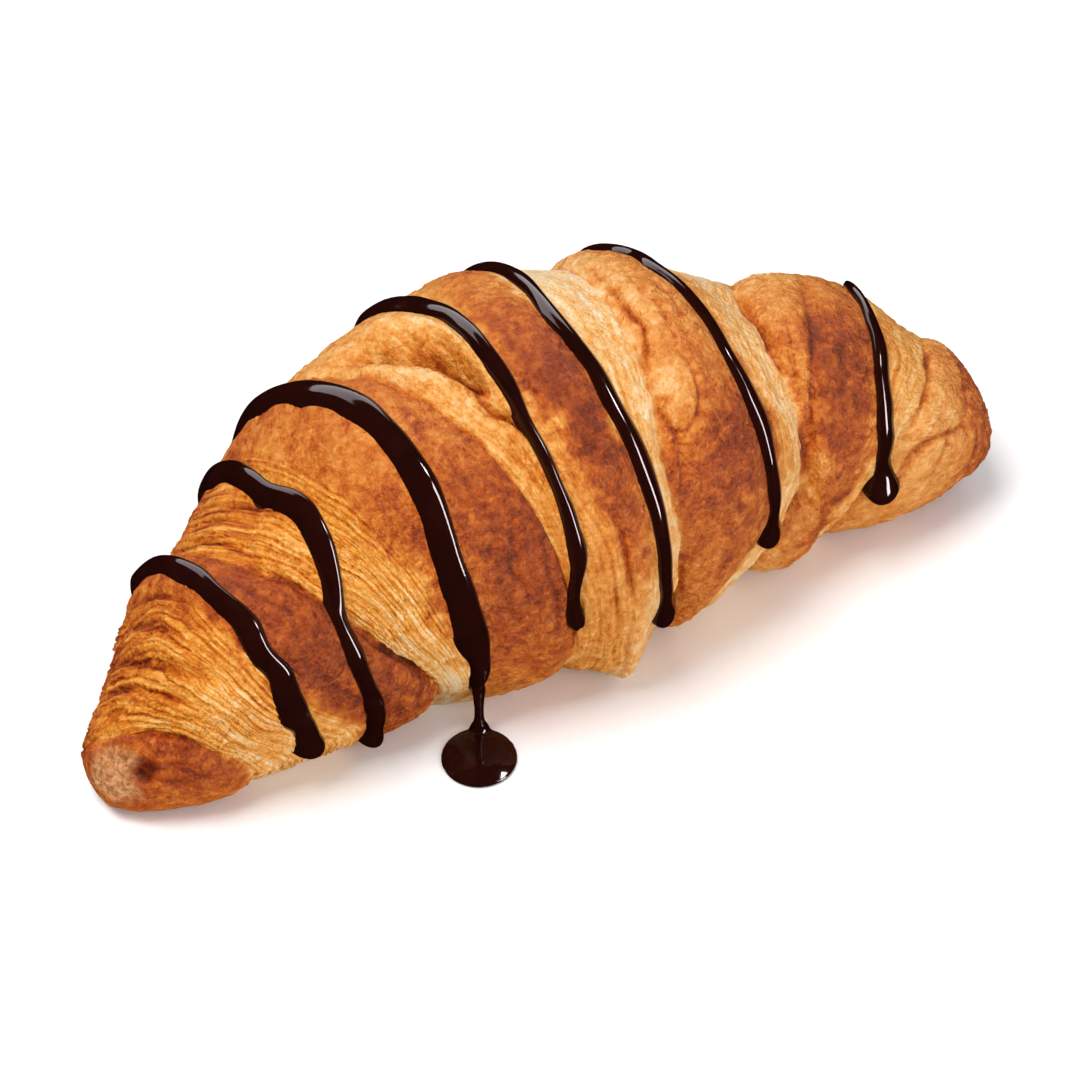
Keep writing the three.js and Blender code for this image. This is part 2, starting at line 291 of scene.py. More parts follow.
# Creases, cracks and folds: points (place, angle), width, depth (negative stands out),
# painted shade added in the line (painted light where negative, on a raised lip), and how one-sided the line
# is (0 a groove, 1 a flap's edge).
STROKES = [
    ([(-0.275, 210), (-0.245, 197), (-0.205, 186), (-0.178, 177), (-0.156, 166)],
     1.3, 5.2, 0.46, 0.95),
    ([(-0.254, 205), (-0.228, 194), (-0.192, 184), (-0.166, 175), (-0.147, 166)],
     0.7, 1.4, 0.62, 0.2),
    ([(-0.248, 208), (-0.222, 200), (-0.19, 191), (-0.165, 181), (-0.148, 171)], 1.8, 1.8, 0.12, 0),
    ([(-0.225, 214), (-0.185, 209), (-0.148, 198), (-0.124, 185), (-0.122, 172)],
     1.5, -1.5, -0.12, 0),
    ([(-0.285, 200), (-0.258, 189), (-0.225, 180), (-0.195, 171)], 1.5, -1.3, -0.1, 0),
    ([(-0.17, 169), (-0.162, 160), (-0.138, 155), (-0.12, 150), (-0.092, 145)],
     0.74, 2.04, 0.35, 0.6),
    ([(-0.15, 146), (-0.125, 138), (-0.1, 131), (-0.088, 122)], 0.5, 0.59, 0.15, 0.3),
    ([(-0.205, 158), (-0.18, 148), (-0.15, 137), (-0.12, 126)], 0.62, 0.59, 0.12, 0.3),
    ([(-0.232, 133), (-0.258, 122), (-0.285, 112), (-0.262, 104), (-0.268, 94)],
     0.62, 0.51, 0.12, 0.2),
    ([(-0.19, 120), (-0.2, 108), (-0.185, 97), (-0.2, 84)], 0.68, 0.51, 0.1, 0.2),
    ([(-0.30, 178), (-0.32, 165), (-0.30, 150), (-0.31, 138)], 0.74, 0.42, 0.07, 0.2),
    ([(-0.017, 124), (-0.003, 113), (-0.001, 101), (0.01, 88)], 0.5, 0.68, 0.2, 0.3),
    ([(-0.045, 118), (-0.03, 105), (-0.028, 92), (-0.02, 78)], 0.56, 0.59, 0.15, 0.2),
    ([(0.222, 206), (0.21, 188), (0.206, 178), (0.212, 170), (0.186, 160), (0.172, 152)],
     0.68, 1.02, 0.28, 0.6),
    ([(0.172, 152), (0.166, 143), (0.176, 134), (0.166, 124), (0.152, 112)], 0.56, 0.77, 0.18, 0.5),
    ([(0.26, 196), (0.25, 184), (0.262, 172), (0.25, 160)], 0.5, 0.42, 0.15, 0.2),
    ([(0.228, 162), (0.254, 153), (0.25, 143), (0.225, 137), (0.198, 134), (0.176, 136)],
     0.43, 0.68, 0.2, 0.6),
    ([(0.29, 188), (0.30, 176), (0.285, 166)], 0.5, 0.34, 0.12, 0.2),
    ([(0.495, 200), (0.497, 185), (0.492, 170), (0.483, 158), (0.49, 149), (0.482, 138)],
     0.56, 1.02, 0.25, 0.6),
    ([(0.632, 205), (0.62, 192), (0.604, 168), (0.572, 145), (0.52, 124), (0.482, 104)],
     1.3, 0.9, 0.14, 0.7),
    ([(0.56, 190), (0.552, 172), (0.535, 156), (0.51, 140)], 0.5, 0.34, 0.1, 0.2),
    ([(0.68, 186), (0.67, 168), (0.65, 150), (0.64, 132)], 0.56, 0.34, 0.1, 0.2),
    ([(0.742, 84), (0.76, 100), (0.794, 112), (0.85, 118), (0.905, 122)], 0.68, 0.94, 0.2, 0.5),
    ([(0.885, 205), (0.872, 185), (0.84, 156), (0.79, 132), (0.765, 118)], 0.62, 0.85, 0.18, 0.6),
    ([(0.85, 122), (0.832, 108), (0.815, 94), (0.8, 78)], 0.56, 0.68, 0.18, 0.3),
    ([(0.945, 190), (0.94, 172), (0.914, 142), (0.89, 124)], 0.56, 0.59, 0.15, 0.3),
    ([(0.93, 122), (0.915, 104), (0.9, 84)], 0.5, 0.42, 0.12, 0.3),
    ([(-0.545, 116), (-0.53, 108), (-0.505, 98), (-0.467, 87), (-0.44, 78)], 0.42, 0.77, 0.25, 0.5),
    ([(-0.70, 240), (-0.681, 228), (-0.656, 212), (-0.636, 195), (-0.625, 180)],
     0.5, 0.85, 0.28, 0.5),
    ([(-0.60, 226), (-0.585, 212), (-0.565, 198), (-0.55, 184)], 0.56, 0.68, 0.18, 0.5),
    ([(-0.64, 236), (-0.625, 222), (-0.60, 206), (-0.59, 192)], 0.56, 0.68, 0.18, 0.5),
    ([(-0.70, 182), (-0.685, 168), (-0.66, 152), (-0.63, 138)], 0.62, 0.42, 0.12, 0.2),
    ([(-0.66, 122), (-0.635, 108), (-0.60, 94), (-0.575, 80)], 0.62, 0.51, 0.12, 0.2),
    ([(-0.90, 246), (-0.895, 222), (-0.884, 198), (-0.862, 178), (-0.84, 160), (-0.80, 140)],
     0.62, 1.27, 0.2, 0.8),
    ([(-0.86, 240), (-0.85, 218), (-0.835, 196), (-0.81, 176)], 0.5, 0.85, 0.18, 0.7),
    ([(-0.825, 238), (-0.812, 216), (-0.79, 196), (-0.775, 182)], 0.5, 0.85, 0.2, 0.7),
    ([(-0.935, 236), (-0.925, 210), (-0.905, 184), (-0.875, 160), (-0.83, 132)],
     0.56, 0.94, 0.18, 0.7),
    ([(-0.955, 118), (-0.93, 104), (-0.90, 92), (-0.86, 78)], 0.62, 0.42, 0.12, 0.2),
    ([(-0.90, 112), (-0.87, 96), (-0.83, 82)], 0.62, 0.42, 0.1, 0.2),
]

STRIPE_WIDTH, STRIPE_THICK, SUNK = 4.2, 1.5, 0.8
STRIPE_ANGLES = [60, 120, 180, 240]
STRIPES = [
    dict(at=(-0.67, -0.705, -0.725, -0.78), front=66, back=248, width=0.84, drop=1.4),
    dict(at=(-0.555, -0.58, -0.53, -0.53), front=46, back=258, width=0.84, drop=1.4),
    dict(at=(-0.35, -0.38, -0.36, -0.42), front=60, back=266, width=1.14, drop=1.0),
    dict(at=(-0.145, -0.105, -0.1, -0.15), front=84, back=254, width=0.88, drop=1.8),
    dict(at=(0.105, 0.09, 0.065, 0.05), front=68, back=262, width=0.92, drop=1.9),
    dict(at=(0.375, 0.38, 0.35, 0.3), front=80, back=250, width=0.92, drop=1.9),
    dict(at=(0.725, 0.73, 0.74, 0.75), front=82, back=244, width=0.70, drop=1.8),
]
POOLED = 2
POOL_RADIUS, POOL_THICK, POOL_OUT = 6.2, 1.9, (-2.6, -4.8)
THREAD_WAIST = 0.8
SAUCE_VOXEL, SAUCE_SOFTENING = 0.22, 9      # mm, passes
FLOW_PASSES = 22                            # how far the sauce has levelled along its run
HIDDEN_SHARE = 0.85                         # share of the crust's detail lost under the sauce
LIPPED_TIP_REACH, LIPPED_TIP_SAG = 1.6, 1.0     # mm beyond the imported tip, and below it

# Patches: place, angle, reach along and around (mm), height, browning, edge sharpness.
PATCHES = [
    (0.212, 147, 3.4, 4.6, 0.3, -0.15, 1.7),       # pale flap beside the tongue
    (0.008, 143, 6.5, 8.0, 0.0, 0.09, 1.1),        # darkest part of the tongue
    (0.31, 124, 9.0, 9.0, 0.0, 0.05, 1.0),
    (-0.988, 126, 3.1, 3.6, -0.5, -0.10, 2.0),     # broken patch that shows crumb
    (-0.944, 118, 1.3, 1.6, -0.9, 0.20, 1.2),      # burnt spot
    (-0.22, 120, 9.0, 8.0, 0.2, 0.05, 1.0),
    (-0.36, 172, 10.0, 7.0, 0.2, -0.05, 1.0),
    (0.68, 150, 8.0, 8.0, 0.0, 0.04, 1.0),
]
CRUMB_PATCH, BURNT_PATCH = 3, 4
STEEP_SIDE, LONG_SIDE = 0.42, 1.9   # widths of the two sides of a flap's edge, per width of its line


def stroke_fields(place, angle, points):
    """Distance to a smooth line through the points, its side, and a taper to its ends."""
    points = np.array(points, float)
    count = len(points)
    fine = np.linspace(0, count - 1, 6 * (count - 1) + 1)
    px = smooth_through(np.arange(count), points[:, 0], fine)
    pa = smooth_through(np.arange(count), points[:, 1], fine)
    reach = outline(np.array([points[:, 0].mean()]))[2][0] / 2
    sx, sy = px * LENGTH / 2, np.radians(pa) * reach
    x, y = place * LENGTH / 2, np.radians(angle) * reach
    best = np.full(x.shape, 1e9)
    side = np.zeros(x.shape)
    share = np.zeros(x.shape)
    near = (x > sx.min() - 8) & (x < sx.max() + 8) & (y > sy.min() - 8) & (y < sy.max() + 8)
    xn, yn = x[near], y[near]
    bn, dn, tn = best[near], side[near], share[near]
    for k in range(len(sx) - 1):
        ex, ey = sx[k + 1] - sx[k], sy[k + 1] - sy[k]
        long2 = ex * ex + ey * ey + 1e-9
        t = np.clip(((xn - sx[k]) * ex + (yn - sy[k]) * ey) / long2, 0, 1)
        gap = np.hypot(xn - sx[k] - t * ex, yn - sy[k] - t * ey)
        closer = gap < bn
        cross = (xn - sx[k]) * ey - (yn - sy[k]) * ex
        bn = np.where(closer, gap, bn)
        dn = np.where(closer, np.sign(cross) * gap, dn)
        tn = np.where(closer, (k + t) / (len(sx) - 1), tn)
    best[near], side[near], share[near] = bn, dn, tn
    return best, side, np.sin(np.pi * np.clip(share, 0.02, 0.98)) ** 0.5


def crust_detail(place, angle, base):
    """Fine displacement in mm and the colour fields of the crust."""
    zone, q, past = dough(place, angle)
    arc = np.radians(angle) * 30.0
    x = place * LENGTH / 2
    take = {key: np.array([z[key] for z in ZONES], float)[zone]
            for key in ("riser", "sheets", "stand", "wrinkle")}
    away = np.where(zone > MIDDLE, q, 1 - q)          # 0 at the middle side of a zone, 1 at its far side

    warp = 0.9 * noise(x / 9, arc / 16, 0, 11) + 0.35 * noise(x / 3, arc / 6, 0, 12)
    phase = away * take["sheets"] + warp
    step = phase - np.floor(phase)
    layer_id = np.floor(phase)
    strength = 0.3 + 0.9 * smooth_step(-0.45, 0.6, noise(layer_id * 3.1, arc / 11, zone * 7.0, 13))
    inside = smooth_step(0.0, 0.07, q) * smooth_step(0.0, 0.07, 1 - q)
    sheet = take["stand"] * strength * (step ** 1.4 - 0.42) * (0.35 + 0.65 * inside)
    groove = np.exp(-((np.minimum(step, 1 - step) / 0.12) ** 2)) * strength * take["riser"]

    fine_phase = phase * 3.3 + 0.5 * noise(x / 2.2, arc / 9, 0, 14)
    fine_step = fine_phase - np.floor(fine_phase)
    sheet += take["riser"] * take["stand"] * 0.22 * (fine_step - 0.5)

    wrinkle = take["wrinkle"] * noise(x / 1.7, arc / 15, base[..., 2] / 30, 15)
    wrinkle += 0.5 * take["wrinkle"] * noise(x / 0.8, arc / 8, 0, 16)
    lumps = 0.20 * noise_at(base, 3.0, 17) + 0.12 * noise_at(base, 1.4, 18)
    blisters = (0.16 * (1 - np.abs(noise_at(base, 1.7, 19))) ** 3
                + 0.10 * (1 - np.abs(noise_at(base, 0.95, 20))) ** 3)
    disp = sheet + wrinkle + lumps + blisters * (1 - 0.5 * take["riser"])

    # thin flakes of the outer skin: one-sided steps, mostly running with the roll
    flake = 2.4 * noise(x / 5.0, arc / 9, base[..., 2] / 12, 33) + 1.1 * noise(x / 2.0, arc / 3.4, 0, 34)
    flake = flake - np.floor(flake)
    smooth_zone = (zone == 7) | (zone == 9)
    flaky = smooth_step(-0.25, 0.45, noise_at(base, 8.0, 35)) * np.where(smooth_zone, 0.35, 1.0)
    disp += 0.26 * (flake - 0.5) * flaky
    # small scales of skin between the flakes
    scale = 1.7 * noise(x / 1.9, arc / 3.2, base[..., 2] / 5, 43) + 0.7 * noise(x / 0.9, arc / 1.3, 0, 44)
    scale = scale - np.floor(scale)
    scaly = smooth_step(-0.2, 0.4, noise_at(base, 6.0, 45)) * np.where(smooth_zone, 0.3, 1.0)
    disp += 0.15 * (scale - 0.5) * scaly
    # painted shade at the foot of each flake's and scale's step, painted light along its raised edge
    painted_flake_shading = flaky * (0.10 * (1 - smooth_step(0.0, 0.16, flake)) - 0.06 * smooth_step(0.72, 0.98, flake))
    painted_flake_shading += scaly * (0.07 * (1 - smooth_step(0.0, 0.2, scale)) - 0.07 * smooth_step(0.75, 0.98, scale))

    # browning: each zone's own, crossing over at the lines, softly at edges and sharply at creases
    ragged = 0.9 * noise_at(base, 3.2, 21) + 0.5 * noise_at(base, 1.3, 22)
    browns = [smooth_through(BROWN_ANGLES, z["brown"], angle) for z in ZONES]
    brown = browns[0].copy()
    golden = np.full(brown.shape, float(ZONES[0]["riser"]))
    for k in range(1, len(LINES) - 1):
        soft = 2.6 if LINES[k][0] == "edge" else 0.9
        mix = smooth_step(-soft, soft, past[k] + soft * 0.7 * ragged)
        brown += (browns[k] - browns[k - 1]) * mix
        golden += (ZONES[k]["riser"] - ZONES[k - 1]["riser"]) * mix
    # lighter beside the creases of the slim arm, darker out on its tip
    brown -= 0.15 * (zone == 10) * (1 - smooth_step(0.30, 0.52, q + 0.10 * ragged))
    brown -= 0.12 * (zone == 8) * (1 - smooth_step(0.15, 0.45, q)) * smooth_step(120, 150, angle)
    brown += 0.24 * (zone == 12) * smooth_step(0.25, 0.85, q + 0.1 * ragged)
    brown += 0.05 * noise_at(base, 13, 23) + 0.035 * noise_at(base, 6, 24)
    mottle = (0.03 * noise_at(base, 2.4, 25) + 0.06 * noise_at(base, 0.9, 26)) * (1.25 - golden)
    streak = 0.11 * noise(phase * 2.4, arc / 13, 0, 27) + 0.13 * noise(phase * 7, arc / 9, 0, 28)
    streak = streak * (0.12 + golden)
    # painted shade in the grooves between the sheets, painted light along the sheets' edges
    sheet_edge = smooth_step(0.45, 0.95, step) * strength * (take["stand"] > 0.2)
    painted_sheet_shading = golden * (0.20 * groove - 0.06 * sheet_edge)
    brown = brown + mottle + streak + painted_sheet_shading + painted_flake_shading
    low = np.minimum(angle, 360 - angle)
    brown += 0.16 * (1 - smooth_step(16, 34, low))     # the sole, baked on the tray
    crumb = np.zeros(brown.shape)

    # each crease gets a groove with painted shade laid along it
    for k in range(1, len(LINES) - 1):
        if LINES[k][0] == "crease":
            line = np.exp(-(((past[k] + 0.5 * ragged) / 0.55) ** 2))
            line = line * smooth_step(-0.5, 0.3, noise_at(base, 7.0, 36 + k))
            disp -= 0.55 * line
            brown += 0.14 * line

    for points, width, depth, tone, flap in STROKES:
        gap, side, taper = stroke_fields(place, angle, points)
        wobble = width * (1 + 0.25 * ragged)
        groove_shape = np.exp(-((gap / wobble) ** 2))
        flap_shape = np.where(side > 0, np.exp(-((gap / (wobble * STEEP_SIDE)) ** 2)),
                              np.exp(-((gap / (wobble * LONG_SIDE)) ** 2)))
        shape = ((1 - flap) * groove_shape + flap * flap_shape) * taper
        disp -= depth * shape
        # painted shade along the fold's line, painted light where its tone is negative
        brown += tone * np.exp(-((gap / (0.75 * wobble)) ** 2)) * taper
    for number, (pp, pa, along, around, height, tone, sharp) in enumerate(PATCHES):
        reach = outline(np.array([pp]))[2][0] / 2
        away_mm = np.hypot((place - pp) * LENGTH / 2 / along, np.radians(angle - pa) * reach / around)
        away_mm = away_mm + 0.3 * ragged
        shape = 1 - smooth_step(1 - 0.9 / sharp, 1 + 0.9 / sharp, away_mm)
        disp += height * shape
        brown += tone * shape
        if number == CRUMB_PATCH:
            crumb = shape
            disp -= shape * (0.5 * np.abs(noise_at(base, 0.9, 31)) + 0.4 * np.abs(noise_at(base, 1.9, 32)))
        if number == BURNT_PATCH:
            crumb = crumb * (1 - shape)
    # painted shade: darker where the crust sinks into hollows
    hollow = smooth_step(0.1, 1.1, -disp)
    brown += 0.05 * hollow
    return disp, np.clip(brown, 0, 1), np.clip(golden, 0, 1), np.clip(crumb, 0, 1)


def under_sauce(place, angle):
    """1 where a stripe lies on the crust, falling to 0 just outside it."""
    mask = np.zeros(np.broadcast(place, angle).shape)
    for stripe in STRIPES:
        middle = place_around(stripe["at"], STRIPE_ANGLES, angle)
        gap = np.abs(place - middle) * LENGTH / 2 / (STRIPE_WIDTH * stripe["width"] / 2)
        ends = smooth_step(stripe["front"] - 3, stripe["front"] + 1, angle)
        ends = ends * (1 - smooth_step(stripe["back"] - 1, stripe["back"] + 3, angle))
        mask = np.maximum(mask, (1 - smooth_step(0.8, 1.5, gap)) * ends)
    return mask


# ---------------------------------------------------------------- mesh helpers
def to_frame(points):
    return (points + SHIFT) * MM


def mesh_object(name, points, rows, columns, fields=None):
    """A closed skin: rows of rings from one pole to the other. points holds the rings in order."""
    ring = points.reshape(-1, 3)
    verts = np.vstack([ring, POLES[0], POLES[1]])
    first, last = len(ring), len(ring) + 1
    r = np.arange(rows - 1)[:, None] * columns
    c = np.arange(columns)[None]
    n = (c + 1) % columns
    quads = np.stack([r + c, r + n, r + columns + n, r + columns + c], -1).reshape(-1, 4)
    c = np.arange(columns)
    n = (c + 1) % columns
    base = (rows - 1) * columns
    fans = np.concatenate([
        np.stack([n, c, np.full(columns, first)], -1),
        np.stack([base + c, base + n, np.full(columns, last)], -1),
    ])
    mesh = bpy.data.meshes.new(name)
    mesh.from_pydata(verts.tolist(), [], quads.tolist() + fans.tolist())
    mesh.polygons.foreach_set("use_smooth", np.ones(len(mesh.polygons), bool))
    for key, values in (fields or {}).items():
        flat = np.concatenate([values.reshape(-1), values[0, :1], values[-1, :1]]).astype(np.float32)
        mesh.attributes.new(key, "FLOAT", "POINT").data.foreach_set("value", flat)
    mesh.update()
    made = bpy.data.objects.new(name, mesh)
    bpy.context.scene.collection.objects.link(made)
    return made


def finish_piece(piece, node, material):
    piece.data.materials.clear()
    piece.data.materials.append(material)
    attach(piece, "root")
    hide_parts(node)


# ---------------------------------------------------------------- materials
def node_tree(name):
    material = bpy.data.materials.new(name)
    material.use_nodes = True
    tree = material.node_tree
    tree.nodes.clear()
    out = tree.nodes.new("ShaderNodeOutputMaterial")
    shader = tree.nodes.new("ShaderNodeBsdfPrincipled")
    tree.links.new(shader.outputs[0], out.inputs[0])
    return material, tree, shader


def add(tree, kind, **values):
    """A node with its settings and socket values; a socket given an output is linked to it."""
    made = tree.nodes.new(kind)
    sockets = values.pop("sockets", {})
    for key, value in values.items():
        setattr(made, key, value)
    for key, value in sockets.items():
        if isinstance(value, bpy.types.NodeSocket):
            tree.links.new(value, made.inputs[key])
        else:
            made.inputs[key].default_value = value
    return made


def math_node(tree, operation, a, b, clamp=False):
    return add(tree, "ShaderNodeMath", operation=operation, use_clamp=clamp, sockets={0: a, 1: b}).outputs[0]


def grain(tree, coords, size_mm, detail, amount, roughness=0.55, distortion=0.0):
    made = add(tree, "ShaderNodeTexNoise", sockets={
        "Vector": coords, "Scale": 1000.0 / size_mm, "Detail": detail,
        "Roughness": roughness, "Distortion": distortion})
    centred = math_node(tree, "SUBTRACT", made.outputs[0], 0.5)
    return math_node(tree, "MULTIPLY", centred, amount)


def srgb(r, g, b):
    def linear(v):
        v /= 255.0
        return v / 12.92 if v <= 0.04045 else ((v + 0.055) / 1.055) ** 2.4
    return (linear(r), linear(g), linear(b), 1.0)


def ramp(tree, fac, stops):
    made = add(tree, "ShaderNodeValToRGB", sockets={0: fac})
    elements = made.color_ramp.elements
    while len(elements) < len(stops):
        elements.new(0.5)
    for element, (position, colour) in zip(elements, stops):
        element.position = position
        element.color = srgb(*colour)
    return made.outputs[0]


CRUST_STOPS = [
    (0.0, (247, 219, 182)), (0.14, (243, 195, 138)), (0.28, (234, 164, 88)), (0.42, (216, 134, 56)),
    (0.55, (197, 103, 33)), (0.67, (168, 73, 23)), (0.79, (136, 50, 16)), (0.90, (108, 37, 14)),
    (1.0, (84, 28, 12)),
]
SHEET_STOPS = [
    (0.0, (248, 226, 188)), (0.14, (245, 201, 140)), (0.28, (240, 172, 86)), (0.42, (222, 140, 46)),
    (0.55, (202, 108, 26)), (0.67, (172, 78, 18)), (0.80, (134, 51, 14)), (1.0, (84, 30, 12)),
]


CRUMB_STOPS = [(0.3, (166, 100, 58)), (0.62, (220, 160, 106))]

# browning added by grain: size in mm, detail, amount; and by chips of skin: how many per metre, amount
TONE_GRAIN = ((7.0, 3, 0.10), (1.8, 5, 0.28), (0.50, 3, 0.20))
CHIPS = ((620.0, 0.13), (1500.0, 0.07))
CHIP_BEND = 0.0016                  # metres that the chips' edges wander
TONE_GAIN, TONE_OFFSET = 1.07, 0.025
BUMP_DEPTH = 0.0007                 # metres


def crust_material():
    material, tree, shader = node_tree("baked_crust")
    coords = add(tree, "ShaderNodeTexCoord").outputs["Object"]
    field = {key: add(tree, "ShaderNodeAttribute", attribute_name=key).outputs["Fac"]
             for key in ("brown", "golden", "crumb")}
    tone = field["brown"]
    for size, detail, amount in TONE_GRAIN:
        tone = math_node(tree, "ADD", tone, grain(tree, coords, size, detail, amount))
    bend = add(tree, "ShaderNodeTexNoise", sockets={"Vector": coords, "Scale": 700.0, "Detail": 3.0})
    bend = add(tree, "ShaderNodeVectorMath", operation="SCALE", sockets={
        0: bend.outputs["Color"], "Scale": CHIP_BEND})
    bent = add(tree, "ShaderNodeVectorMath", operation="ADD", sockets={0: coords, 1: bend.outputs[0]})
    for scale, amount in CHIPS:
        chips = add(tree, "ShaderNodeTexVoronoi", sockets={"Vector": bent.outputs[0], "Scale": scale})
        chip = math_node(tree, "SUBTRACT", chips.outputs["Color"], 0.5)
        tone = math_node(tree, "ADD", tone, math_node(tree, "MULTIPLY", chip, amount))
    speck = add(tree, "ShaderNodeTexVoronoi", sockets={"Vector": coords, "Scale": 900.0})
    dark_speck = add(tree, "ShaderNodeMapRange", sockets={
        "Value": speck.outputs["Distance"], "From Min": 0.0, "From Max": 0.3, "To Min": 0.06, "To Max": 0.0})
    tone = math_node(tree, "ADD", tone, dark_speck.outputs[0])
    tone = math_node(tree, "SUBTRACT", math_node(tree, "MULTIPLY", tone, TONE_GAIN), TONE_OFFSET, clamp=True)
    plain = ramp(tree, tone, CRUST_STOPS)
    sheets = ramp(tree, tone, SHEET_STOPS)
    mixed = add(tree, "ShaderNodeMix", data_type="RGBA", sockets={
        0: field["golden"], 6: plain, 7: sheets}).outputs[2]
    pores = grain(tree, coords, 0.9, 4, 1.5)
    crumb_colour = ramp(tree, math_node(tree, "ADD", pores, 0.5), CRUMB_STOPS)
    mixed = add(tree, "ShaderNodeMix", data_type="RGBA", sockets={
        0: field["crumb"], 6: mixed, 7: crumb_colour}).outputs[2]
    tree.links.new(mixed, shader.inputs["Base Color"])

    rough = math_node(tree, "ADD", grain(tree, coords, 1.4, 3, 0.40), 0.38)
    rough = math_node(tree, "ADD", rough, math_node(tree, "MULTIPLY", field["golden"], 0.10))
    rough = math_node(tree, "ADD", rough, math_node(tree, "MULTIPLY", field["crumb"], 0.35), clamp=True)
    glint = add(tree, "ShaderNodeMapRange", sockets={
        "Value": grain(tree, coords, 0.5, 2, 1.0),
        "From Min": 0.10, "From Max": 0.20, "To Min": 0.0, "To Max": 1.0})
    glint = math_node(tree, "MULTIPLY", glint.outputs[0], math_node(tree, "SUBTRACT", 1.0, field["crumb"]))
    rough = math_node(tree, "SUBTRACT", rough, math_node(tree, "MULTIPLY", glint, 0.22), clamp=True)
    tree.links.new(rough, shader.inputs["Roughness"])
    shader.inputs["Specular IOR Level"].default_value = 0.14
    shader.inputs["Specular Tint"].default_value = (1.0, 0.76, 0.52, 1)
    shader.inputs["Subsurface Weight"].default_value = 0.10
    shader.inputs["Subsurface Radius"].default_value = (1.0, 0.45, 0.2)
    shader.inputs["Subsurface Scale"].default_value = 0.0016

    height = grain(tree, coords, 0.9, 4, 1.0)
    height = math_node(tree, "ADD", height, grain(tree, coords, 0.28, 3, 0.5))
    cells = add(tree, "ShaderNodeTexVoronoi", feature="SMOOTH_F1", sockets={
        "Vector": coords, "Scale": 1300.0})
    height = math_node(tree, "SUBTRACT", height, math_node(tree, "MULTIPLY", cells.outputs["Distance"], 0.55))
    bump = add(tree, "ShaderNodeBump", sockets={"Strength": 1.0, "Distance": BUMP_DEPTH, "Height": height})
    tree.links.new(bump.outputs[0], shader.inputs["Normal"])
    return material


def chocolate_material():
    material, tree, shader = node_tree("chocolate_sauce")
    coords = add(tree, "ShaderNodeTexCoord").outputs["Object"]
    tone = math_node(tree, "ADD", grain(tree, coords, 4.0, 2, 0.8), 0.5, clamp=True)
    colour = ramp(tree, tone, [(0.2, (24, 6, 4)), (0.8, (36, 10, 7))])
    tree.links.new(colour, shader.inputs["Base Color"])
    rough = math_node(tree, "ADD", grain(tree, coords, 1.5, 2, 0.04), 0.075, clamp=True)
    tree.links.new(rough, shader.inputs["Roughness"])
    shader.inputs["IOR"].default_value = 1.30
    shader.inputs["Specular Tint"].default_value = (1.0, 0.84, 0.88, 1)
    height = grain(tree, coords, 3.0, 1, 1.0)
    bump = add(tree, "ShaderNodeBump", sockets={"Strength": 0.08, "Distance": 0.0003, "Height": height})
    tree.links.new(bump.outputs[0], shader.inputs["Normal"])
    return material


CRUST = crust_material()
CHOCOLATE = chocolate_material()

# ---------------------------------------------------------------- the croissant
angles = np.concatenate([
    np.linspace(0, 30, 18, endpoint=False), np.linspace(30, 275, COLUMNS - 44, endpoint=False),
    np.linspace(275, 360, 26, endpoint=False)])
line_places = np.array([place_around(line[1], LINE_ANGLES, angles) for line in LINES])
row_places = []
for i, count in enumerate(ROWS):
    for k in range(count):
        share = k / count
        if i == 0:
            share = share ** 1.7
        if i == len(ROWS) - 1:
            share = 1 - (1 - share) ** 1.7
        row_places.append(line_places[i] + (line_places[i + 1] - line_places[i]) * share)
PLACE = np.array(row_places[1:])
ANGLE = np.broadcast_to(angles, PLACE.shape)
base, normal = with_normals(PLACE, ANGLE)

reach = smooth_step(0.90, 1.0, -PLACE)
base[..., 0] -= LIPPED_TIP_REACH * reach
base[..., 2] = np.maximum(base[..., 2] - LIPPED_TIP_SAG * reach, np.minimum(base[..., 2], 0.2))

low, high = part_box("croissant")
solid_middle = np.array([(low[k] + high[k]) / 2 for k in range(3)]) / MM
SHIFT = np.array([solid_middle[0] - (base[..., 0].max() + base[..., 0].min()) / 2,
                  solid_middle[1] - (base[..., 1].max() + base[..., 1].min()) / 2, 0.0])

fine, brown, golden, crumb = crust_detail(PLACE, ANGLE, base)
off_sole = smooth_step(0.2, 3.0, base[..., 2])
near_tip = smooth_step(0, 0.02, 1 - np.abs(PLACE))
fine = fine * (1 - HIDDEN_SHARE * under_sauce(PLACE, ANGLE))
moved = base + normal * ((fine + swell(base)) * off_sole * (0.3 + 0.7 * near_tip))[..., None]
moved[..., 2] = np.maximum(moved[..., 2], 0)
POLES = [to_frame(moved[0].mean(0) + [-0.12, 0, 0])[None], to_frame(moved[-1].mean(0) + [0.12, 0, 0])[None]]
# the brown field holds the browning together with the painted shade and light of creases, folds, hollows,
# sheets and flakes
loaf = mesh_object("croissant_crust", to_frame(moved), len(moved), len(angles),
                   dict(brown=brown, golden=golden, crumb=crumb))
finish_piece(loaf, "croissant", CRUST)

